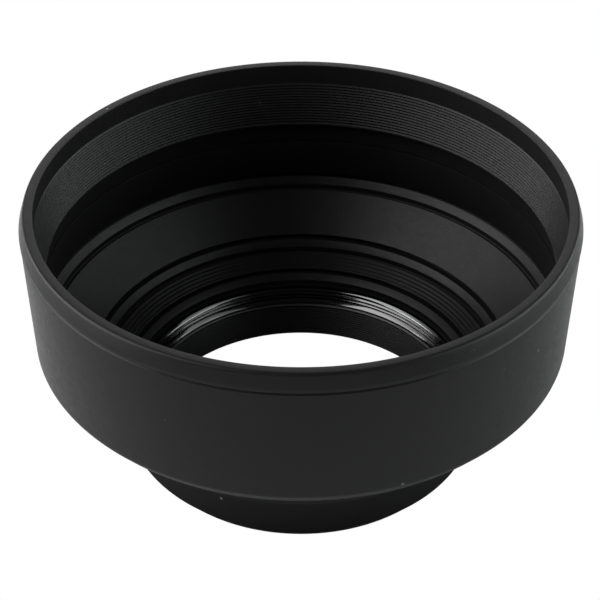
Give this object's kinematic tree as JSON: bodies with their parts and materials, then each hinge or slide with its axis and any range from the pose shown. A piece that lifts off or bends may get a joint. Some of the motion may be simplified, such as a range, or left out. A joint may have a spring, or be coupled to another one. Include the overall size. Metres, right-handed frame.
{
  "type": "lens hood",
  "caption": "Collapsible round rubber lens hood with a ribbed funnel, a flared drum-shaped shade and a double-threaded metal filter mount.",
  "frame": {"origin": "centre of the rear end of the male thread, which is also the bottom centre of the bounding box", "axes": "+Z along the optical axis, from the lens towards the front rim; the hood is round about Z, so X and Y are free"},
  "size_m": [0.095, 0.095, 0.0501],
  "materials": {
    "rubber": "fine matt moulded black",
    "matt_aluminium": "matt black anodised, finely grooved",
    "gloss_aluminium": "glossy black anodised, threaded"
  },
  "bodies": {
    "mount": {"mount_ring": "matt_aluminium", "filter_ring": "gloss_aluminium", "collar": "rubber", "rear_hinge": "rubber", "rear_fold_cone": "rubber"},
    "middle": {"middle_ring": "rubber", "middle_hinge": "rubber", "front_fold_cone": "rubber"},
    "shade": {"front_hinge": "rubber", "fold_ring": "rubber", "front_shade": "rubber"}
  },
  "joints": [
    {"name": "rear_fold", "type": "slide", "parent": "mount", "child": "middle", "axis": [0, 0, 1], "range_m": [-0.0052, 0], "deforming": ["rear_fold_cone"]},
    {"name": "front_fold", "type": "slide", "parent": "middle", "child": "shade", "axis": [0, 0, 1], "range_m": [-0.0126, 0], "deforming": ["front_fold_cone"]}
  ]
}
